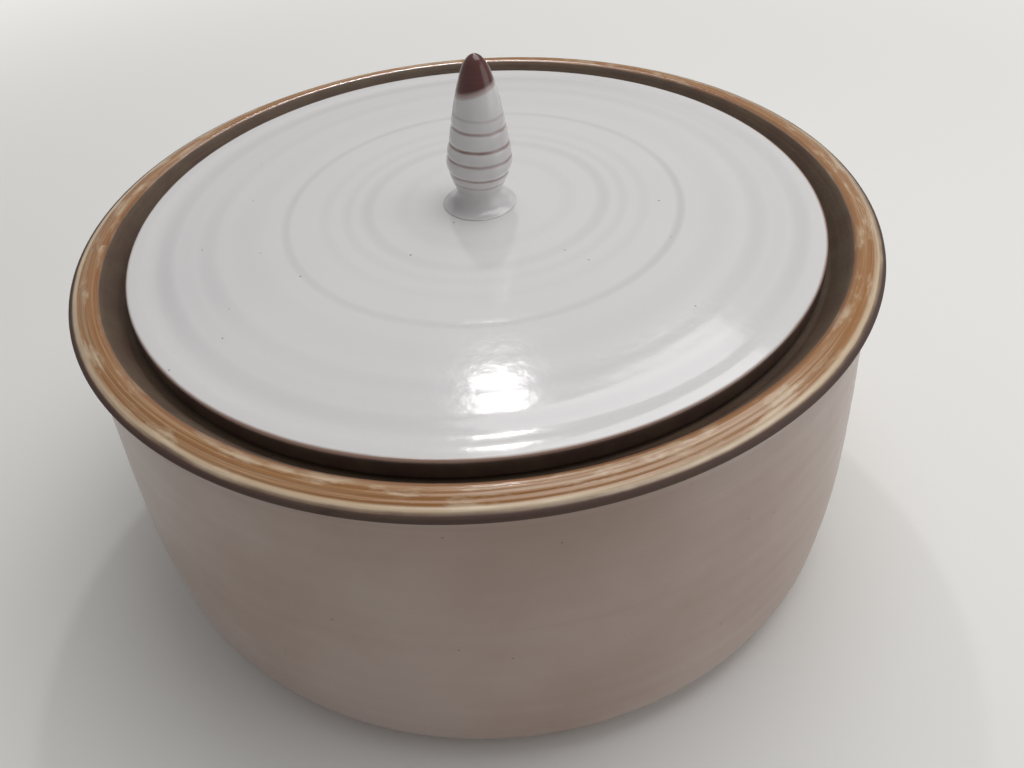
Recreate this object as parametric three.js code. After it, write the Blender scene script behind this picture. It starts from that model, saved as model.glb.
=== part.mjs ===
// A hand-thrown stoneware pot with a gallery rim, and a domed lid with a tall pointed knob.
// Millimetres, +Z up. The origin is on the table, under the middle of the pot.

import * as THREE from 'three';

// Lid
const lidRadius = 112.2;
const lidThickness = 6.75; // at the edge
const lidSunk = 0.75; // lid's top edge below the crest of the rim
const lidDome = 4.5; // rise of the top from the edge to the middle
const lidHollow = 3.4; // rise of the underside from its flat ring to the middle
const lidRing = 7; // width of the flat ring under the edge, its rounding counted in
const lidUnderRounding = 2.2;
const lidTopRounding = 0.9;
const lidPlay = 1.4; // room round the lid before the gallery starts to rise
const lidRest = 0.3; // film of grit and glaze between the lid and the ledge

// Ledge that carries the lid
const seatOverlap = 6.2; // how far the lid reaches over the ledge
const ledgeThickness = 4.5; // at the throat
const coveHeight = 11; // how far the ledge's underside runs down the wall
const throatRounding = 1.4;

// Rim: a steep gallery round the lid, and a flattened bead that stands out over the wall
const rimHeight = 119.6; // crest of the bead above the table
const galleryWidth = 5.4; // from the ledge out to the bead's inner edge
const beadWidth = 10.5; // from the bead's inner edge to its widest point
const crestInset = 3; // from the bead's inner edge out to its crest
const beadLip = 0.9; // height of the bead's inner edge under its crest
const beadDrop = 3.7; // from the crest down to the widest point
const noseWidth = 2.9; // the bead's rounded outer edge
const noseTop = 1.4; // height of the rounding above the widest point
const noseTuck = 1.9; // height of the rounding below it
const noseEnd = 50; // degrees up the rounding where the sloping top meets it
const undercutHeight = 1; // from the bead's underside down to the wall
const overhang = 4.1; // how far the bead stands out over the wall

// Side wall
const bellySwell = 2.8; // how much wider the wall is at its widest than right under the bead
const bellyHeight = 46;
const heelHeight = 20; // the turned-under lower edge ends here
const heelDrop = 1.6; // how much narrower the wall is there than at the belly
const heelTuck = 17.2; // from the widest point in to the edge of the flat face it stands on
const wallThickness = 6.5;
const floorThickness = 8;
const innerCorner = 22; // height and width of the rounded corner between floor and wall

// Knob
const knobHeight = 49.5;
const knobFootRadius = 13.5; // where the flare would run out on the lid
const knobFootAngle = 12; // degrees of the flare left off there, so that its edge isn't a feather
const knobPad = 0.4; // margin of the lid's flat middle round the knob's foot
const knobOffset = new THREE.Vector2(2, 0.8); // the knob stands a little off the middle
const knobLean = 1.9; // sideways, at the tip
const neckHeight = 5.5; // narrowest point above the foot
const knobNeckRadius = 7.3;
const knobBellyHeight = 14.6;
const knobBellyRadius = 10.4;
const knobWaistHeight = 23.8;
const knobWaistRadius = 9.2;
const knobShoulderHeight = 34.7;
const knobShoulderRadius = 7.15;
const knobTaperHeight = 44.2;
const knobTaperRadius = 4.5;
const knobTipHeight = 48.3;
const knobTipRadius = 2.2;
const grooveHeights = [12.3, 17.5, 21.9, 27.5]; // finger grooves round the knob
const grooveDepth = 0.3;
const grooveWidth = 0.9;

// Facets
const potSegments = 64;
const knobSegments = 24;
const knobRings = 42;

// Sizes that follow from the ones above
const throatRadius = lidRadius - seatOverlap;
const seatRadius = lidRadius + lidPlay;
const beadInnerRadius = seatRadius + galleryWidth;
const crestRadius = beadInnerRadius + crestInset;
const rimRadius = beadInnerRadius + beadWidth;
const noseRadius = rimRadius - noseWidth;
const neckRadius = rimRadius - overhang;
const bellyRadius = neckRadius + bellySwell;
const footRadius = bellyRadius - heelTuck;
const beadMiddle = rimHeight - beadDrop;
const beadUnderside = beadMiddle - noseTuck;
const wallTop = beadUnderside - undercutHeight;
const seatHeight = rimHeight - lidSunk - lidThickness - lidRest;
const ledgeUnderside = seatHeight - ledgeThickness;
const coveStart = ledgeUnderside - coveHeight;
const padRadius = knobFootRadius + knobPad;

const point = (r, z) => new THREE.Vector2(r, z);

// A quarter turn of an ellipse, or a part of it, from one angle to another in degrees.
function ellipse(r, z, radiusR, radiusZ, from, to, steps) {
  const points = [];
  for (let i = 0; i <= steps; i++) {
    const angle = THREE.MathUtils.degToRad(from + ((to - from) * i) / steps);
    points.push(point(r + radiusR * Math.cos(angle), z + radiusZ * Math.sin(angle)));
  }
  return points;
}

// Points of a wall between two heights, whose radius is a function of the height.
function wallLine(radiusAt, fromZ, toZ, steps) {
  const points = [];
  for (let i = 0; i <= steps; i++) {
    const z = fromZ + ((toZ - fromZ) * i) / steps;
    points.push(point(radiusAt(z), z));
  }
  return points;
}

// Leaves out points that lie on the one before, where two stretches meet.
function joined(...stretches) {
  const all = stretches.flat();
  return all.filter((p, i) => i === 0 || p.distanceTo(all[i - 1]) > 1e-4);
}

// Turns a profile of (radius, height) points, listed upwards along the outside, round the Z axis.
function turned(profile, segments) {
  const geometry = new THREE.LatheGeometry(profile, segments);
  geometry.rotateX(Math.PI / 2);
  return geometry;
}

// Outside of the wall: it swells from the heel to the belly and draws in again to the neck.
function wallRadius(z) {
  if (z < bellyHeight) {
    const t = (bellyHeight - z) / (bellyHeight - heelHeight);
    return bellyRadius - heelDrop * t * t;
  }
  const t = (z - bellyHeight) / (wallTop - bellyHeight);
  return bellyRadius - (bellyRadius - neckRadius) * Math.pow(t, 1.5);
}

const innerRadius = (z) => wallRadius(z) - wallThickness;

function potProfile() {
  const heelRadius = wallRadius(heelHeight);
  const cornerTop = floorThickness + innerCorner;
  const cornerRadius = innerRadius(cornerTop) - innerCorner;
  const rounding = throatRounding;
  const throatEdge = throatRadius + rounding;
  return joined(
    [point(0, 0)],
    ellipse(footRadius, heelHeight, heelRadius - footRadius, heelHeight, -90, 0, 6),
    wallLine(wallRadius, heelHeight, wallTop, 8),
    ellipse(noseRadius, beadMiddle, noseWidth, noseTuck, -90, 0, 4),
    ellipse(noseRadius, beadMiddle, noseWidth, noseTop, 0, noseEnd, 2),
    ellipse(crestRadius, rimHeight - beadLip, crestRadius - beadInnerRadius, beadLip, 90, 180, 3),
    [point(seatRadius, seatHeight)],
    ellipse(throatEdge, seatHeight - rounding, rounding, rounding, 90, 180, 2),
    ellipse(throatEdge, ledgeUnderside + rounding, rounding, rounding, 180, 270, 2),
    ellipse(throatEdge, coveStart, innerRadius(coveStart) - throatEdge, coveHeight, 90, 0, 5),
    wallLine(innerRadius, coveStart, cornerTop, 5),
    ellipse(cornerRadius, cornerTop, innerCorner, innerCorner, 0, -90, 5),
    [point(0, floorThickness)],
  );
}

// Height of the lid's top above the underside of its flat ring.
function lidTop(r) {
  const t = Math.min(r / (lidRadius - lidTopRounding), 1);
  return lidThickness + lidDome * (1 - t * t);
}

function lidProfile() {
  const ringInner = lidRadius - lidRing;
  const round = lidUnderRounding;
  const underside = [];
  for (let i = 0; i <= 6; i++) {
    const t = i / 6;
    underside.push(point(ringInner * t, lidHollow * (1 - t * t)));
  }
  const top = [];
  const edge = lidRadius - lidTopRounding;
  for (let i = 0; i <= 9; i++) {
    const r = edge + ((padRadius - edge) * i) / 9;
    top.push(point(r, lidTop(r)));
  }
  const cornerZ = lidThickness - lidTopRounding;
  return joined(
    underside,
    ellipse(lidRadius - round, round * 0.6, round, round * 0.6, -90, 0, 3),
    ellipse(edge, cornerZ, lidTopRounding, lidTopRounding, 0, 90, 2),
    top,
    [point(0, lidTop(padRadius))],
  );
}

// The knob's side: a hollow flare up to the neck, then a long body that tapers to the tip.
function knobProfile() {
  const flareWidth = knobFootRadius - knobNeckRadius;
  const flare = ellipse(knobFootRadius, neckHeight, flareWidth, neckHeight, 270 - knobFootAngle, 180, 5);
  const body = new THREE.SplineCurve([
    point(knobNeckRadius, neckHeight),
    point(knobBellyRadius, knobBellyHeight),
    point(knobWaistRadius, knobWaistHeight),
    point(knobShoulderRadius, knobShoulderHeight),
    point(knobTaperRadius, knobTaperHeight),
    point(knobTipRadius, knobTipHeight),
    point(0, knobHeight),
  ]);
  const side = body.getSpacedPoints(knobRings);
  for (const p of side.slice(0, -1)) {
    for (const height of grooveHeights) {
      const t = (p.y - height) / grooveWidth;
      p.x -= grooveDepth * Math.exp(-t * t);
    }
  }
  side[knobRings].x = 0;
  return joined([point(0, 0)], [point(flare[0].x, 0)], flare, side);
}

// The knob leans: most of the shift comes in its lower half.
function lean(geometry) {
  const position = geometry.getAttribute('position');
  for (let i = 0; i < position.count; i++) {
    const t = THREE.MathUtils.clamp(position.getZ(i) / knobHeight, 0, 1);
    position.setX(i, position.getX(i) + knobLean * (1 - (1 - t) * (1 - t)));
  }
  geometry.computeVertexNormals();
  return geometry;
}

function piece(name, geometry, color, roughness) {
  const material = new THREE.MeshStandardMaterial({ color, roughness, metalness: 0 });
  const mesh = new THREE.Mesh(geometry, material);
  mesh.name = name;
  return mesh;
}

const pot = new THREE.Group();
pot.add(piece('pot_body', turned(potProfile(), potSegments), 0xcdbfb6, 0.35));

const lid = new THREE.Group();
lid.position.z = seatHeight + lidRest;
lid.add(piece('lid', turned(lidProfile(), potSegments), 0xdcdadb, 0.2));
pot.add(lid);

const knob = piece('lid_knob', lean(turned(knobProfile(), knobSegments)), 0xd2c8c6, 0.2);
knob.position.set(knobOffset.x, knobOffset.y, lidTop(padRadius));
lid.add(knob);

export default pot;
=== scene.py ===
import math

import bmesh
import bpy
import numpy as np
from mathutils import Euler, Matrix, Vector


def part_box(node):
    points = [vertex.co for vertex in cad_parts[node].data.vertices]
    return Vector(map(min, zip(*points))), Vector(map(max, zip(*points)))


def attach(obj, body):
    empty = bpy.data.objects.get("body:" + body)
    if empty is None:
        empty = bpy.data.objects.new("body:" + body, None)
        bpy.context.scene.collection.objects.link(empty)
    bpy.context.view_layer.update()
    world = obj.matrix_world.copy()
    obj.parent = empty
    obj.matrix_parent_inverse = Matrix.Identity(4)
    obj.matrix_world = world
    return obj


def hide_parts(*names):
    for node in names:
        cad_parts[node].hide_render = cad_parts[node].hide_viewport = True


bl_info = {
    "name": "Stoneware casserole",
    "version": (1, 0, 0),
    "blender": (4, 5, 0),
    "location": "3D View > Sidebar > Pottery",
    "description": "Dresses a hand-thrown lidded pot with its turned surfaces and glazes",
    "category": "Add Mesh",
}

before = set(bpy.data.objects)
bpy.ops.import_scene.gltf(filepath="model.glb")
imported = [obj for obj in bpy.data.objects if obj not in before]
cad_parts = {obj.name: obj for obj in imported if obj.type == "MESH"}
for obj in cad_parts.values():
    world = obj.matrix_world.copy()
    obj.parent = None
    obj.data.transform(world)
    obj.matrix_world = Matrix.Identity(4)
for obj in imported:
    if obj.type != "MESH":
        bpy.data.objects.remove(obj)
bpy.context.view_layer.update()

MM = 0.001
POT_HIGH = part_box("pot_body")[1]
LID_LOW, LID_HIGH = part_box("lid")
KNOB_LOW, KNOB_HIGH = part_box("lid_knob")
RIM_TOP = POT_HIGH.z
RIM_RADIUS = POT_HIGH.x
LID_RADIUS = LID_HIGH.x
LID_BOTTOM = LID_LOW.z


def linear(red, green, blue):
    """A screen colour, 0 to 255, as the linear colour that a shader takes."""
    def channel(value):
        value /= 255
        return value / 12.92 if value <= 0.04045 else ((value + 0.055) / 1.055) ** 2.4
    return (channel(red), channel(green), channel(blue))


def smooth(low, high, value):
    """0 below low, 1 above high, and a soft step between them, on arrays too."""
    t = np.clip((value - low) / (high - low), 0, 1)
    return t * t * (3 - 2 * t)


# Settings


def length(name, description, default):
    """A length property, in metres."""
    return bpy.props.FloatProperty(
        name=name, description=description, default=default, unit="LENGTH", precision=5
    )


def colour(name, description, rgb):
    """A colour property, from a screen colour."""
    return bpy.props.FloatVectorProperty(
        name=name, description=description, default=linear(*rgb), subtype="COLOR",
        min=0, max=1,
    )


def amount(name, description, default, top=10.0):
    """A plain number."""
    return bpy.props.FloatProperty(
        name=name, description=description, default=default, min=0, max=top
    )


class PotSettings(bpy.types.PropertyGroup):
    """Marks of the hand on the pot."""

    sides: bpy.props.IntProperty(
        name="Sides", description="Facets round the turned pieces", default=288, min=48
    )
    groove_depth: length("Rim grooves", "Depth of the fine grooves round the rim", 0.22 * MM)
    groove_pitch: length("Groove pitch", "Distance between the rim's grooves", 1.55 * MM)
    wobble: length("Wobble", "How far the throwing is out of round", 0.5 * MM)
    wall_ripple: length("Wall ripple", "Depth of the throwing lines on the wall", 0.12 * MM)
    chip_width: length("Chip", "Width of the chip under the rim", 3.2 * MM)


class LidSettings(bpy.types.PropertyGroup):
    """Throwing rings on the lid and the knob."""

    ring_offset: bpy.props.FloatVectorProperty(
        name="Ring centre", description="Centre of the throwing rings, off the lid's middle",
        default=(2.6 * MM, 1.2 * MM), size=2, unit="LENGTH", precision=5,
    )
    wobble: length("Wobble", "How far the lid is out of round", 0.7 * MM)
    ring_depth: length("Ring depth", "Depth of the deepest throwing ring", 0.07 * MM)
    dip_height: length("Dip height", "Height of the knob's dark dip above the lid", 39.4 * MM)
    dip_slant: length("Dip slant", "Rise of the dip line across the knob", 5.2 * MM)


class GlazeColours(bpy.types.PropertyGroup):
    """Colours of the clay and the glazes."""

    lid_white: colour("Lid white", "Glaze on top of the lid", (218, 216, 215))
    # Glaze pooled thick in the lid's rings; the same grey is also painted as shade on the foot of
    # the knob
    lid_pool_and_shade: colour("Lid pool", "Glaze lying thick in the lid's rings", (184, 177, 183))
    wall_white: colour("Wall white", "Glaze on the side wall", (176, 156, 147))
    wall_warm: colour("Wall warm", "Thin glaze on the side wall", (162, 138, 124))
    break_brown: colour("Breaking brown", "Where the glaze is thin over an edge", (120, 70, 48))
    ochre: colour("Ochre", "Glaze on the rim", (156, 108, 62))
    cream: colour("Cream", "Streaks in the rim's glaze", (222, 204, 176))
    rust: colour("Rust", "Dark grooves of the rim", (122, 76, 44))
    gallery: colour("Gallery", "Bare clay of the gallery", (92, 76, 60))
    bare: colour("Bare clay", "Purple-brown clay under the rim", (74, 52, 46))
    foot: colour("Foot", "Bare clay at the foot", (158, 120, 90))
    tip: colour("Tip", "Dipped tip of the knob", (88, 48, 44))


class StageSettings(bpy.types.PropertyGroup):
    """Camera, floor and light."""

    camera_place: bpy.props.FloatVectorProperty(
        name="Camera", description="Where the camera stands",
        default=(0, -0.2808, 0.2911), size=3, subtype="TRANSLATION",
    )
    camera_turn: bpy.props.FloatVectorProperty(
        name="Turn", description="How the camera is turned",
        default=[math.radians(a) for a in (48.598, 3.003, -4.334)], size=3, subtype="EULER",
    )
    camera_lens: amount("Lens", "Focal length on a 36 mm sensor", 34.89, 200)
    window_watts: amount("Window", "Power of the small lamp behind the pot", 0.45, 500)
    top_watts: amount("Top", "Power of the lamp overhead", 5.0, 500)
    side_watts: amount("Side", "Power of the lamp at the right", 1.0, 500)
    sky: amount("Sky", "Strength of the light from all round", 0.3, 5)
    floor_white: colour("Floor", "Colour of the floor", (240, 239, 236))


# Shader expressions


class Wire:
    """A socket of a shader, in an expression that adds the nodes it needs."""

    def __init__(self, shader, socket):
        self.shader = shader
        self.socket = socket

    def other(self, output):
        """Another output of the same node."""
        return Wire(self.shader, self.socket.node.outputs[output])

    def math(self, operation, *values):
        return self.shader.node("ShaderNodeMath", {"operation": operation}, *values)

    def __add__(self, other):
        return self.math("ADD", self, other)

    def __radd__(self, other):
        return self.math("ADD", other, self)

    def __sub__(self, other):
        return self.math("SUBTRACT", self, other)

    def __rsub__(self, other):
        return self.math("SUBTRACT", other, self)

    def __mul__(self, other):
        return self.math("MULTIPLY", self, other)

    def __rmul__(self, other):
        return self.math("MULTIPLY", other, self)

    def __truediv__(self, other):
        return self.math("DIVIDE", self, other)

    def __abs__(self):
        return self.math("ABSOLUTE", self)

    def __pow__(self, other):
        return self.math("POWER", self, other)

    def sine(self):
        return self.math("SINE", self)

    def at_least(self, other):
        """The larger of the two."""
        return self.math("MAXIMUM", self, other)

    def clamped(self):
        return self.math("MINIMUM", self.at_least(0), 1)

    def step(self, low, high):
        """0 at low and 1 at high, softly; low may be the larger of the two."""
        t = ((self - low) / (high - low)).clamped()
        return t * t * (3 - 2 * t)

    def band(self, middle, width):
        """1 at the middle and 0 at width from it and beyond."""
        return 1 - abs((self - middle) / width).clamped() ** 2


class Shader:
    """The nodes of a material or a world, written as expressions."""

    def __init__(self, owner):
        owner.use_nodes = True
        self.tree = owner.node_tree

    def node(self, kind, settings, *values, output=0, **named):
        """Adds a node: its settings first, then the values or links of its sockets."""
        made = self.tree.nodes.new(kind)
        for key, value in settings.items():
            setattr(made, key, value)
        for key, value in [*enumerate(values), *named.items()]:
            if isinstance(key, str):
                key = key.replace("_", " ")
            self.feed(made.inputs[key], value)
        return Wire(self, made.outputs[output])

    def feed(self, socket, value):
        """Links a wire to a socket, or sets the socket's value."""
        if isinstance(value, Wire):
            self.tree.links.new(value.socket, socket)
        elif isinstance(value, (int, float)):
            socket.default_value = value
        elif len(socket.default_value) == 4:
            socket.default_value = (*value[:3], 1)
        else:
            socket.default_value = tuple(value)

    def mix(self, factor, first, second):
        """A colour between two colours."""
        return self.node(
            "ShaderNodeMix", {"data_type": "RGBA"}, Factor=factor, A=first, B=second,
            output="Result",
        )


class Glaze(Shader):
    """A material that changes from place to place."""

    def __init__(self, name):
        self.material = bpy.data.materials.new(name)
        super().__init__(self.material)
        self.surface = self.tree.nodes["Principled BSDF"]
        self.place = self.node("ShaderNodeTexCoord", {}, output="Object")
        self.x = self.node("ShaderNodeSeparateXYZ", {}, self.place)
        self.y, self.z = self.x.other("Y"), self.x.other("Z")

    def noise(self, scale, detail=3.0, place=None, roughness=0.5):
        """Cloudy noise, with features about 1 / scale metres apart."""
        return self.node(
            "ShaderNodeTexNoise", {}, Vector=place or self.place, Scale=scale,
            Detail=detail, Roughness=roughness,
        )

    def vector(self, x, y, z):
        """A vector from three numbers."""
        return self.node("ShaderNodeCombineXYZ", {}, x, y, z)

    def radius(self, centre=(0.0, 0.0)):
        """Distance from an upright axis."""
        across, along = self.x - centre[0], self.y - centre[1]
        return (across * across + along * along) ** 0.5

    def angle(self, centre=(0.0, 0.0)):
        """Angle round an upright axis, in radians."""
        across, along = self.x - centre[0], self.y - centre[1]
        return along.math("ARCTAN2", along, across)

    def specks(self, scale, size):
        """Small round dots, few and scattered."""
        cells = self.node(
            "ShaderNodeTexVoronoi", {}, Vector=self.place, Scale=scale, output="Distance"
        )
        red = self.node("ShaderNodeSeparateColor", {}, cells.other("Color"))
        return cells.step(size, size * 0.45) * red.step(0.86, 0.9)

    def finish(self, base, roughness, height=None, relief=MM, coat=0.0, specular=0.5):
        """Feeds the surface, with a relief of so many metres for a height of 1."""
        self.feed(self.surface.inputs["Base Color"], base)
        self.feed(self.surface.inputs["Roughness"], roughness)
        self.feed(self.surface.inputs["Specular IOR Level"], specular)
        self.feed(self.surface.inputs["Coat Weight"], coat)
        self.feed(self.surface.inputs["Coat Roughness"], 0.06)
        if height is not None:
            bump = self.node(
                "ShaderNodeBump", {}, Strength=1.0, Distance=relief, Height=height
            )
            self.feed(self.surface.inputs["Normal"], bump)
        return self.material


# Turned meshes


def meridian(node):
    """The section of a turned node at +X, as (radius, height) points from axis to axis."""
    mesh = bmesh.new()
    mesh.from_mesh(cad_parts[node].data)
    weld, flat = 0.004 * MM, 0.01 * MM
    bmesh.ops.remove_doubles(mesh, verts=mesh.verts, dist=weld)
    near = [v for v in mesh.verts if abs(v.co.y) < flat and v.co.x > -flat]
    on_section = set(near)
    start = min((v for v in near if abs(v.co.x) < flat), key=lambda v: v.co.z)
    chain = [start]
    while True:
        beside = [edge.other_vert(chain[-1]) for edge in chain[-1].link_edges]
        onward = [v for v in beside if v in on_section and v not in chain[-2:]]
        if not onward:
            break
        chain.append(max(onward, key=lambda v: v.co.x) if len(chain) == 1 else onward[0])
        if abs(chain[-1].co.x) < flat:
            break
    points = np.array([(max(v.co.x, 0), v.co.z) for v in chain])
    mesh.free()
    return points


def refined(points, soften, spacing):
    """A section drawn finely: facets and corners rounded, points as close as spacing(r, z) says."""
    fine = 0.1 * MM
    steps = np.hypot(*np.diff(points, axis=0).T)
    run = np.concatenate([[0], np.cumsum(steps)])
    count = int(run[-1] / fine)
    along = np.linspace(0, run[-1], count)
    line = np.stack([np.interp(along, run, points[:, i]) for i in range(2)], 1)
    reach = int(3 * soften / fine)
    kernel = np.exp(-0.5 * (np.arange(-reach, reach + 1) * fine / soften) ** 2)
    kernel /= kernel.sum()
    before = line[1:reach + 1][::-1] * (-1, 1)
    after = line[-reach - 1:-1][::-1] * (-1, 1)
    padded = np.concatenate([before, line, after])
    line = np.stack([np.convolve(padded[:, i], kernel, "valid") for i in range(2)], 1)
    line[0, 0] = line[-1, 0] = 0
    kept, last = [0], 0.0
    for i in range(1, count - 1):
        if along[i] - last >= spacing(*line[i]):
            kept.append(i)
            last = along[i]
    kept.append(count - 1)
    return line[kept]


def outward(points):
    """Unit normals of a section that runs up its outside."""
    tangent = np.gradient(points, axis=0)
    tangent /= np.maximum(np.hypot(*tangent.T), 1e-12)[:, None]
    return np.stack([tangent[:, 1], -tangent[:, 0]], 1)


def turned(name, points, sides, shape=None):
    """A closed mesh turned from a section. shape(x, y, z, normal) gives the moved places."""
    angles = np.linspace(0, 2 * math.pi, sides, endpoint=False)
    ring = points[1:-1]
    normal = outward(points)[1:-1]
    cos, sin = np.cos(angles), np.sin(angles)
    x = ring[:, :1] * cos
    y = ring[:, :1] * sin
    z = np.repeat(ring[:, 1:], sides, 1)
    if shape:
        normals = (normal[:, :1] * cos, normal[:, :1] * sin, np.repeat(normal[:, 1:], sides, 1))
        x, y, z = shape(x, y, z, normals)
    rings = len(ring)
    verts = np.stack([x.ravel(), y.ravel(), z.ravel()], 1)
    ends = np.array([(0, 0, points[0, 1]), (0, 0, z[-1].mean())])
    low, high = rings * sides, rings * sides + 1
    i, j = np.meshgrid(np.arange(rings - 1), np.arange(sides), indexing="ij")
    following = (j + 1) % sides
    quads = np.stack(
        [i * sides + j, i * sides + following, (i + 1) * sides + following, (i + 1) * sides + j], -1
    ).reshape(-1, 4)
    top = (rings - 1) * sides
    fans = [(low, (a + 1) % sides, a) for a in range(sides)]
    fans += [(high, top + a, top + (a + 1) % sides) for a in range(sides)]
    mesh = bpy.data.meshes.new(name)
    mesh.from_pydata(np.concatenate([verts, ends]).tolist(), [], quads.tolist() + fans)
    mesh.shade_smooth()
    mesh.update()
    made = bpy.data.objects.new(name, mesh)
    bpy.context.scene.collection.objects.link(made)
    return made


def dressed(piece, body, node, material):
    """Puts a piece in a CAD node's place, with its material."""
    piece.data.materials.append(material)
    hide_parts(node)
    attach(piece, body)
    return piece


def out_of_round(x, y, depth, lobes, phase):
    """Factor that draws a circle in a little, in lobes."""
    angle = np.arctan2(y, x)
    return 1 - depth / RIM_RADIUS * 0.5 * (1 + np.cos(lobes * angle + phase))


# The pot


# Inner edge of the bead, and the inner limit of the cream line near its outer edge
GALLERY_OUTER = RIM_RADIUS - 10.5 * MM
CREAM_LINE = RIM_RADIUS - 5 * MM
# Over the heel, the outside of the wall is wider than this and its inside is narrower
MID_WALL = RIM_RADIUS - 6.6 * MM
# Lower limit of the rim's glaze, top of the wall, and underside of the ledge
RIM_EDGE = RIM_TOP - 2.3 * MM
UNDERCUT = RIM_TOP - 6.1 * MM
LEDGE_UNDER = LID_BOTTOM - 4.8 * MM
HEEL_TOP = 26 * MM
CHIP_ANGLE = math.radians(251.5)
CHIP_HEIGHT = RIM_TOP - 3.2 * MM
CHIP_DEPTH = 0.9 * MM


def pot_shape(settings):
    """Grooves round the rim, throwing lines on the wall, a chip under the bead."""
    chip = Vector((math.cos(CHIP_ANGLE), math.sin(CHIP_ANGLE))) * RIM_RADIUS
    # Pitches of the throwing lines, in millimetres
    coarse, close = 9, 3

    def shape(x, y, z, normal):
        radius = np.hypot(x, y)
        angle = np.arctan2(y, x)
        on_rim = smooth(RIM_EDGE - 0.6 * MM, RIM_EDGE + 0.4 * MM, z)
        on_rim = on_rim * smooth(GALLERY_OUTER + 0.6 * MM, GALLERY_OUTER + 2 * MM, radius)
        drift = 0.5 * np.sin(angle + 0.6) + 0.3 * np.sin(2 * angle + 2)
        groove = np.cos(2 * math.pi * (radius / settings.groove_pitch + drift))
        depth = -settings.groove_depth * on_rim * (0.5 - 0.5 * groove) ** 2
        wall = smooth(8 * MM, HEEL_TOP, z) * smooth(UNDERCUT, UNDERCUT - 3 * MM, z)
        wall = wall * (radius > MID_WALL)
        # The lines wind up the wall, one coarse pitch in each turn.
        rise = z / MM + 1.3 * np.sin(angle + 1) + coarse * angle / (2 * math.pi)
        turns = 2 * math.pi * rise
        lines = 0.5 * np.sin(turns / coarse) + 0.3 * np.sin(turns / close + 1)
        depth = depth - settings.wall_ripple * wall * (0.8 - lines)
        away = np.hypot(x - chip.x, y - chip.y)
        away = np.hypot(away, (z - CHIP_HEIGHT) * 1.3)
        depth = depth - CHIP_DEPTH * smooth(settings.chip_width / 2, 0.2 * MM, away)
        x, y, z = (p + n * depth for p, n in zip((x, y, z), normal))
        round_factor = out_of_round(x, y, settings.wobble, 3, 0.8)
        return x * round_factor, y * round_factor, np.clip(z, 0, RIM_TOP)

    return shape


def pot_material(colours):
    """White glaze outside and in, streaky ochre on the rim, bare clay in the gallery."""
    s = Glaze("pot_glaze")
    radius, z = s.radius(), s.z
    ragged = s.noise(55, 4) * 2 * MM - 1 * MM
    cloud = s.noise(14, 5)
    turning = s.vector(radius * 900, s.angle() * 1.4, z * 900)
    streak = s.noise(1, 4, turning, 0.65)
    fine = s.noise(1, 3, s.vector(radius * 2600, s.angle() * 2.2, z * 2600), 0.7)

    wall = s.mix(cloud.step(0.35, 0.7), colours.wall_white, colours.wall_warm)
    lines = s.noise(1, 2, s.vector(s.angle() * 0.6, 0, z * 420 + s.angle() * 0.6))
    wall = s.mix(lines.step(0.62, 0.75) * 0.25, wall, colours.wall_warm)
    freckle = s.specks(210, 0.1)
    wall = s.mix(freckle * 0.6, wall, colours.break_brown)

    patches = s.noise(1, 4, s.vector(radius * 260, s.angle() * 7, z * 260), 0.6)
    rim = s.mix(streak.step(0.4, 0.75) * 0.35, colours.ochre, colours.cream)
    rim = s.mix(patches.step(0.5, 0.66) * 0.5, rim, colours.cream)
    rim = s.mix(fine.step(0.56, 0.68) * 0.5, rim, colours.rust)
    inner_line = radius.band(GALLERY_OUTER + 0.6 * MM, 1.3 * MM)
    rim = s.mix(inner_line * 0.6, rim, colours.rust)
    rolled_edge = (z + ragged * 0.2).band(RIM_EDGE + 0.25 * MM, 0.5 * MM)
    cream_line = rolled_edge * radius.step(CREAM_LINE, CREAM_LINE + 1.5 * MM)
    rim = s.mix(cream_line * 0.7, rim, colours.cream)

    gallery = s.mix(s.noise(90, 6).step(0.3, 0.75) * 0.6, colours.gallery, colours.bare)
    gallery = s.mix(streak.step(0.5, 0.8) * 0.25, gallery, colours.ochre)
    bare = s.mix(streak.step(0.3, 0.8) * 0.5, colours.bare, colours.gallery)
    foot = s.mix(s.noise(120, 6).step(0.3, 0.7) * 0.5, colours.foot, colours.bare)

    outside = radius.step(LID_RADIUS, LID_RADIUS + 1 * MM)
    above_ledge = z.step(LEDGE_UNDER - 0.3 * MM, LEDGE_UNDER + 0.5 * MM)
    on_bead = (z + ragged * 0.25).step(RIM_EDGE - 0.35 * MM, RIM_EDGE + 0.35 * MM)
    under_bead = z.step(UNDERCUT - 0.4 * MM, UNDERCUT + 0.2 * MM)
    in_gallery = (radius + ragged * 0.3).step(GALLERY_OUTER + 0.5 * MM, GALLERY_OUTER - 0.1 * MM)
    heel = (z + ragged).step(3.6 * MM, 2.6 * MM) * outside
    under = z.step(0.6 * MM, 0.3 * MM)

    base = s.mix(under_bead * outside, wall, bare)
    base = s.mix(on_bead * outside, base, rim)
    base = s.mix(above_ledge * in_gallery, base, gallery)
    footing = heel.at_least(under)
    base = s.mix(footing, base, foot)

    dull = (above_ledge * in_gallery).at_least(footing)
    dull = dull.at_least(under_bead * outside * (1 - on_bead))
    orange_peel = s.noise(260, 2)
    grit = s.noise(900, 4)
    height = orange_peel * 0.35 * (1 - dull) + grit * dull + streak * 0.5 * on_bead * outside
    roughness = 0.3 + 0.35 * dull + 0.1 * cloud - 0.12 * on_bead * outside * (1 - dull)
    return s.finish(base, roughness, height, 0.12 * MM, coat=0.25 * (1 - dull))


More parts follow.
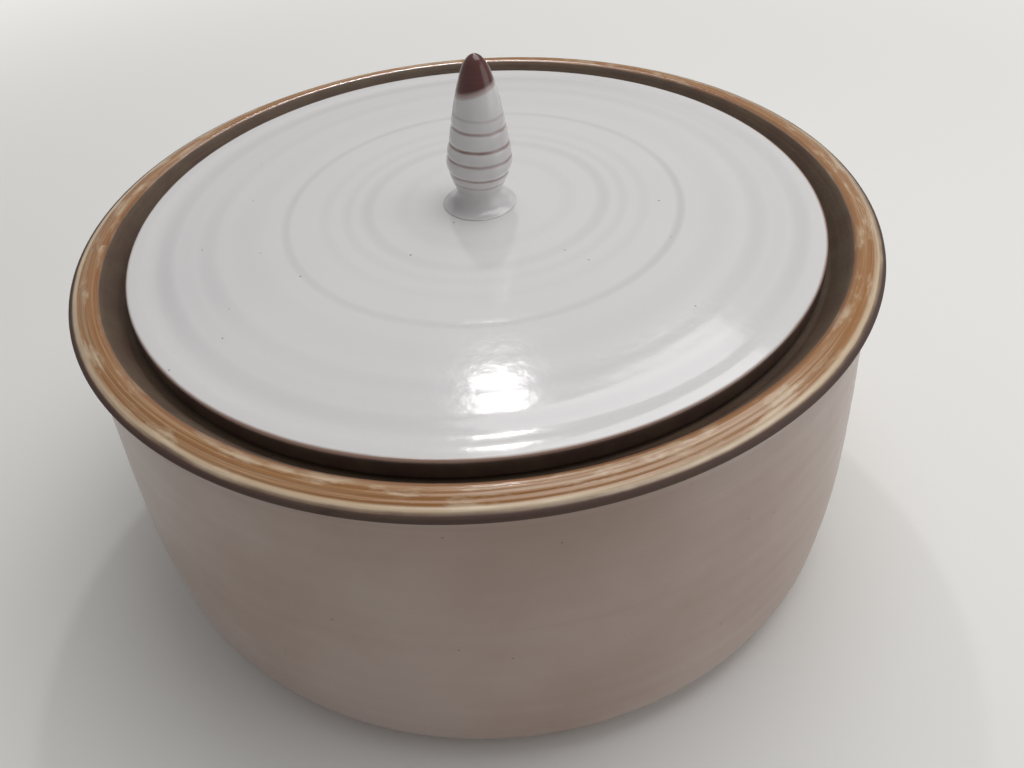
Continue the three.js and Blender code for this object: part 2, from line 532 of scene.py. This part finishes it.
class POTTERY_OT_pot(bpy.types.Operator):
    """Make the pot, with its rim, gallery and foot"""

    bl_idname = "pottery.pot"
    bl_label = "Pot"

    def execute(self, context):
        settings = context.scene.pottery_pot

        def spacing(radius, z):
            return 0.4 * MM if z > RIM_TOP - 12 * MM else 2 * MM

        section = refined(meridian("pot_body"), 0.9 * MM, spacing)
        piece = turned("pot_turned", section, settings.sides, pot_shape(settings))
        material = pot_material(context.scene.pottery_colours)
        dressed(piece, "pot", "pot_body", material)
        return {"FINISHED"}


# The lid


LID_EDGE_TOP = LID_BOTTOM + 6.75 * MM
# The knob stands this far off the lid's middle, towards +X
KNOB_OFFSET = 2 * MM
# Depth of the hollow inside the lid's raised edge
EDGE_ROLL = 0.35 * MM
# Throwing rings on the lid: distance from their centre and half width in millimetres, and depth
LID_RINGS = (
    (27, 2.2, 0.3), (38.5, 1.8, 0.7), (45, 1.4, 0.4), (52, 1.6, 0.3), (64, 1.2, 1.0),
    (76, 4.0, 0.25), (88.5, 2.6, 0.6), (95, 2.4, 0.25), (101.5, 2.4, 0.7),
)
# The rings wind in like a shallow spiral, in millimetres: how far, from which angle, and
# between which distances from the centre the winding fades out
RING_WINDING = 1.6
RING_START = 0.9
RING_FADE = (85, 30)
# How far each ring is drawn in on two sides, in millimetres
RING_OVAL = 0.7


def ring_height(x, y, settings):
    """Depth of the throwing rings at a place on the lid, from 0 to 1 and more."""
    centre = settings.ring_offset
    away = np.hypot(x - centre[0], y - centre[1]) / MM
    angle = np.arctan2(y - centre[1], x - centre[0])
    winding = RING_WINDING * np.sin(angle + RING_START) * smooth(*RING_FADE, away)
    place = away - winding - RING_OVAL * np.sin(2 * angle)
    return sum(size * np.exp(-((place - at) / width) ** 2) for at, width, size in LID_RINGS)


def lid_shape(settings):
    """Throwing rings on top, and an edge slightly out of round."""

    def shape(x, y, z, normal):
        radius = np.hypot(x, y)
        on_top = smooth(LID_EDGE_TOP - 0.6 * MM, LID_EDGE_TOP, z)
        on_top = on_top * smooth(LID_RADIUS - 2 * MM, LID_RADIUS - 9 * MM, radius)
        clear_of_knob = smooth(13 * MM, 17 * MM, np.hypot(x - KNOB_OFFSET, y))
        z = z - settings.ring_depth * on_top * clear_of_knob * ring_height(x, y, settings)
        dish = smooth(LID_RADIUS - 16 * MM, LID_RADIUS - 8 * MM, radius)
        dish = dish * smooth(LID_RADIUS - 2 * MM, LID_RADIUS - 7 * MM, radius)
        z = z - EDGE_ROLL * on_top * dish
        factor = out_of_round(x, y, settings.wobble, 3, 2.2)
        factor = 1 - (1 - factor) * smooth(60 * MM, LID_RADIUS, radius)
        return x * factor, y * factor, z

    return shape


def lid_material(colours, settings):
    """Glossy white glaze that pools in the rings and breaks brown at the edge."""
    s = Glaze("lid_glaze")
    radius, z = s.radius(), s.z
    centre = settings.ring_offset
    away = s.radius(centre) / MM
    angle = s.angle(centre)
    winding = (angle + RING_START).sine() * RING_WINDING * away.step(*RING_FADE)
    place = away - winding - (angle * 2).sine() * RING_OVAL
    pool = sum(place.band(at, width * 1.5) * size for at, width, size in LID_RINGS)
    cloud = s.noise(11, 4)
    fade = s.noise(9, 2).step(0.3, 0.7) * 0.6 + 0.4
    white = s.mix(pool.clamped() * fade * 0.45, colours.lid_white, colours.lid_pool_and_shade)
    white = s.mix(cloud.step(0.45, 0.8) * 0.15, white, colours.lid_pool_and_shade)
    white = s.mix(s.specks(150, 0.07) * 0.75, white, colours.break_brown)

    ragged = s.noise(80, 4) * 1.2 * MM - 0.6 * MM
    side = (z + ragged * 0.5).step(LID_EDGE_TOP - 0.25 * MM, LID_EDGE_TOP - 0.9 * MM)
    thin = (radius + ragged * 0.4).step(LID_RADIUS - 1.7 * MM, LID_RADIUS - 0.7 * MM)
    clay = s.mix(s.noise(140, 6).step(0.3, 0.7) * 0.7, colours.bare, colours.gallery)
    beneath = z.step(LID_BOTTOM + 4.6 * MM, LID_BOTTOM + 4.2 * MM)
    inside = radius.step(LID_RADIUS - 8.5 * MM, LID_RADIUS - 9.2 * MM) * beneath
    base = s.mix(thin * 0.85, white, colours.rust)
    base = s.mix(side, base, clay)
    base = s.mix(inside, base, white)
    dull = side * (1 - inside)
    height = s.noise(230, 2) * 0.6 * (1 - dull) + s.noise(900, 4) * dull
    roughness = 0.12 + 0.44 * dull + 0.05 * cloud
    return s.finish(base, roughness, height, 0.1 * MM, coat=0.4 * (1 - dull))


class POTTERY_OT_lid(bpy.types.Operator):
    """Make the lid, with its throwing rings"""

    bl_idname = "pottery.lid"
    bl_label = "Lid"

    def execute(self, context):
        settings = context.scene.pottery_lid
        sides = context.scene.pottery_pot.sides

        def spacing(radius, z):
            if z > LID_EDGE_TOP - 3 * MM:
                return 0.35 * MM if radius > LID_RADIUS - 3 * MM else 0.7 * MM
            return 0.5 * MM if radius > LID_RADIUS - 5 * MM else 3 * MM

        section = refined(meridian("lid"), 0.45 * MM, spacing)
        piece = turned("lid_turned", section, sides, lid_shape(settings))
        material = lid_material(context.scene.pottery_colours, settings)
        dressed(piece, "lid", "lid", material)
        return {"FINISHED"}


# The knob


KNOB_BASE = KNOB_LOW.z
# Finger grooves: height above the lid in millimetres, and how strongly the brown shows in each
KNOB_GROOVES = ((9.2, 0.35), (12.3, 0.8), (17.5, 0.85), (21.9, 1.0), (27.5, 0.7), (31.5, 0.25))
# The grooves' rise across the knob and their half width, in millimetres, and their depth
GROOVE_SLANT = 0.55
GROOVE_WIDTH = 0.6
GROOVE_DEPTH = 0.18 * MM
KNOB_SIDES = 96


def knob_rings():
    """Centre, radius and height of each ring of the knob, from its foot to its tip."""
    co = np.array([v.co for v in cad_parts["lid_knob"].data.vertices])
    heights = np.round(co[:, 2], 6)
    rings = []
    for height in np.unique(heights):
        ring = co[heights == height]
        low, high = ring.min(0), ring.max(0)
        centre = (low + high) / 2
        rings.append((centre[0], centre[1], (high[0] - low[0]) / 2, height))
    return np.array(rings)


def knob_material(colours, settings):
    """White glaze that breaks brown in the grooves, a dark dipped tip, and painted shade greying
    its foot.
    """
    s = Glaze("knob_glaze")
    middle = ((KNOB_LOW.x + KNOB_HIGH.x) / 2, (KNOB_LOW.y + KNOB_HIGH.y) / 2)
    across = (s.x - middle[0]) / (10 * MM)
    height = (s.z - KNOB_BASE) / MM
    slanted = height + across * GROOVE_SLANT
    waver = s.noise(110, 3) * 1.4 - 0.7
    white = s.mix(s.noise(60, 3).step(0.35, 0.7) * 0.5, colours.lid_white, colours.lid_pool_and_shade)
    slanted = slanted + waver * 0.5
    brown = sum(slanted.band(groove, 0.65) * strength for groove, strength in KNOB_GROOVES)
    heavy = s.noise(70, 2).step(0.25, 0.6) * 0.5 + 0.5
    base = s.mix(brown.clamped() * heavy * 0.95, white, colours.break_brown)
    # Painted shade: the knob's lowest 3.5 mm is greyed towards the pool colour, for the shade in
    # the fillet where the knob meets the lid
    base = s.mix(height.step(3.5, 0.5) * 0.35, base, colours.lid_pool_and_shade)
    dip = settings.dip_height / MM + across * (settings.dip_slant / MM) * 0.5
    over = height - dip + waver * 0.5
    halo = over.band(0, 1.6)
    base = s.mix(halo * 0.6, base, colours.break_brown)
    lines = s.noise(1, 3, s.vector(s.angle() * 0.4, 0, s.z * 1500))
    tip = s.mix(lines.step(0.5, 0.75) * 0.3, colours.tip, colours.break_brown)
    dark = over.step(-0.4, 0.9)
    base = s.mix(dark, base, tip)
    relief = s.noise(260, 2) * 0.3 + lines * 0.3 * dark
    return s.finish(base, 0.17 + 0.08 * s.noise(40, 3), relief, 0.1 * MM, coat=0.4)


class POTTERY_OT_knob(bpy.types.Operator):
    """Make the knob, with its finger grooves and dipped tip"""

    bl_idname = "pottery.knob"
    bl_label = "Knob"

    def execute(self, context):
        rings = knob_rings()
        heights = rings[:, 3]
        section = np.concatenate([[(0, heights[0])], rings[:-1, 2:], [(0, heights[-1])]])
        points = refined(section, 0.55 * MM, lambda radius, z: 0.22 * MM)

        def shape(x, y, z, normal):
            angle = np.arctan2(y, x)
            slanted = (z - KNOB_BASE) / MM + GROOVE_SLANT * np.cos(angle)
            depth = GROOVE_DEPTH * sum(
                strength * np.exp(-((slanted - groove) / GROOVE_WIDTH) ** 2)
                for groove, strength in KNOB_GROOVES
            )
            x = x - depth * np.cos(angle) + np.interp(z, heights, rings[:, 0])
            y = y - depth * np.sin(angle) + np.interp(z, heights, rings[:, 1])
            return x, y, z

        piece = turned("knob_turned", points, KNOB_SIDES, shape)
        # The two ends follow the lean as well.
        foot, tip = piece.data.vertices[-2], piece.data.vertices[-1]
        foot.co = (rings[0, 0], rings[0, 1], heights[0])
        tip.co = (rings[-1, 0], rings[-1, 1], heights[-1])
        material = knob_material(context.scene.pottery_colours, context.scene.pottery_lid)
        dressed(piece, "lid", "lid_knob", material)
        return {"FINISHED"}


# The stage


# Place and width of each lamp, in metres
LAMPS = {
    "window": ((0.01, 0.36, 0.66), 0.028),
    "top": ((0.25, 0.15, 0.95), 0.8),
    "side": ((0.75, -0.25, 0.35), 0.6),
}
LAMP_AIM = Vector((0, 0, 0.09))
FLOOR_HALF = 6.0
# Distances from the pot between which the floor runs into the backdrop
FLOOR_FADE = (0.28, 0.85)


class POTTERY_OT_stage(bpy.types.Operator):
    """Set the floor, the lamps, the sky and the camera"""

    bl_idname = "pottery.stage"
    bl_label = "Stage"

    def execute(self, context):
        scene = context.scene
        settings = scene.pottery_stage
        self.camera(scene, settings)
        self.floor(scene, settings)
        for name, (place, size) in LAMPS.items():
            self.lamp(scene, name, place, size, getattr(settings, name + "_watts"))
        self.sky(scene, settings)
        scene.view_settings.view_transform = "Standard"
        return {"FINISHED"}

    def camera(self, scene, settings):
        data = bpy.data.cameras.new("camera")
        data.sensor_width = 36
        data.lens = settings.camera_lens
        data.clip_start = 0.01
        camera = bpy.data.objects.new("camera", data)
        camera.location = settings.camera_place
        camera.rotation_euler = Euler(settings.camera_turn)
        scene.collection.objects.link(camera)
        scene.camera = camera

    def floor(self, scene, settings):
        mesh = bpy.data.meshes.new("floor")
        ways = ((-1, -1), (1, -1), (1, 1), (-1, 1))
        corners = [(x * FLOOR_HALF, y * FLOOR_HALF, 0) for x, y in ways]
        mesh.from_pydata(corners, [], [(0, 1, 2, 3)])
        floor = bpy.data.objects.new("floor", mesh)
        scene.collection.objects.link(floor)
        s = Glaze("floor")
        s.finish(settings.floor_white, 0.85, specular=0.1)
        seen = s.node("ShaderNodeLightPath", {}, output="Is Camera Ray")
        far = s.radius().step(*FLOOR_FADE) * seen
        backdrop = s.node("ShaderNodeEmission", {}, settings.floor_white)
        mixed = s.node("ShaderNodeMixShader", {}, far, Wire(s, s.surface.outputs[0]), backdrop)
        s.feed(s.tree.nodes["Material Output"].inputs["Surface"], mixed)
        mesh.materials.append(s.material)

    def lamp(self, scene, name, place, size, watts):
        data = bpy.data.lights.new(name, "AREA")
        data.size = size
        data.energy = watts
        lamp = bpy.data.objects.new(name, data)
        lamp.location = place
        aim = LAMP_AIM - Vector(place)
        lamp.rotation_euler = aim.to_track_quat("-Z", "Y").to_euler()
        scene.collection.objects.link(lamp)

    def sky(self, scene, settings):
        scene.world = bpy.data.worlds.new("sky")
        s = Shader(scene.world)
        light = s.tree.nodes["Background"]
        s.feed(light.inputs["Color"], (1, 1, 1))
        s.feed(light.inputs["Strength"], settings.sky)
        backdrop = s.node("ShaderNodeBackground", {}, settings.floor_white)
        seen = s.node("ShaderNodeLightPath", {}, output="Is Camera Ray")
        mixed = s.node("ShaderNodeMixShader", {}, seen, Wire(s, light.outputs[0]), backdrop)
        s.feed(s.tree.nodes["World Output"].inputs["Surface"], mixed)


class POTTERY_PT_panel(bpy.types.Panel):
    """Lists the pieces of the casserole"""

    bl_idname = "POTTERY_PT_panel"
    bl_label = "Stoneware casserole"
    bl_space_type = "VIEW_3D"
    bl_region_type = "UI"
    bl_category = "Pottery"

    def draw(self, context):
        for operator in OPERATORS:
            self.layout.operator(operator.bl_idname)
        for group in GROUPS:
            settings = getattr(context.scene, group)
            for name in settings.bl_rna.properties.keys():
                if name not in {"rna_type", "name"}:
                    self.layout.prop(settings, name)


OPERATORS = (POTTERY_OT_stage, POTTERY_OT_pot, POTTERY_OT_lid, POTTERY_OT_knob)
GROUPS = {
    "pottery_pot": PotSettings,
    "pottery_lid": LidSettings,
    "pottery_colours": GlazeColours,
    "pottery_stage": StageSettings,
}


def register():
    for group in GROUPS.values():
        bpy.utils.register_class(group)
    for made in (*OPERATORS, POTTERY_PT_panel):
        bpy.utils.register_class(made)
    for name, group in GROUPS.items():
        setattr(bpy.types.Scene, name, bpy.props.PointerProperty(type=group))


def unregister():
    for name in GROUPS:
        delattr(bpy.types.Scene, name)
    for made in (POTTERY_PT_panel, *reversed(OPERATORS), *GROUPS.values()):
        bpy.utils.unregister_class(made)


def main():
    register()
    bpy.ops.pottery.stage()
    bpy.ops.pottery.pot()
    bpy.ops.pottery.lid()
    bpy.ops.pottery.knob()


if __name__ == "__main__":
    main()
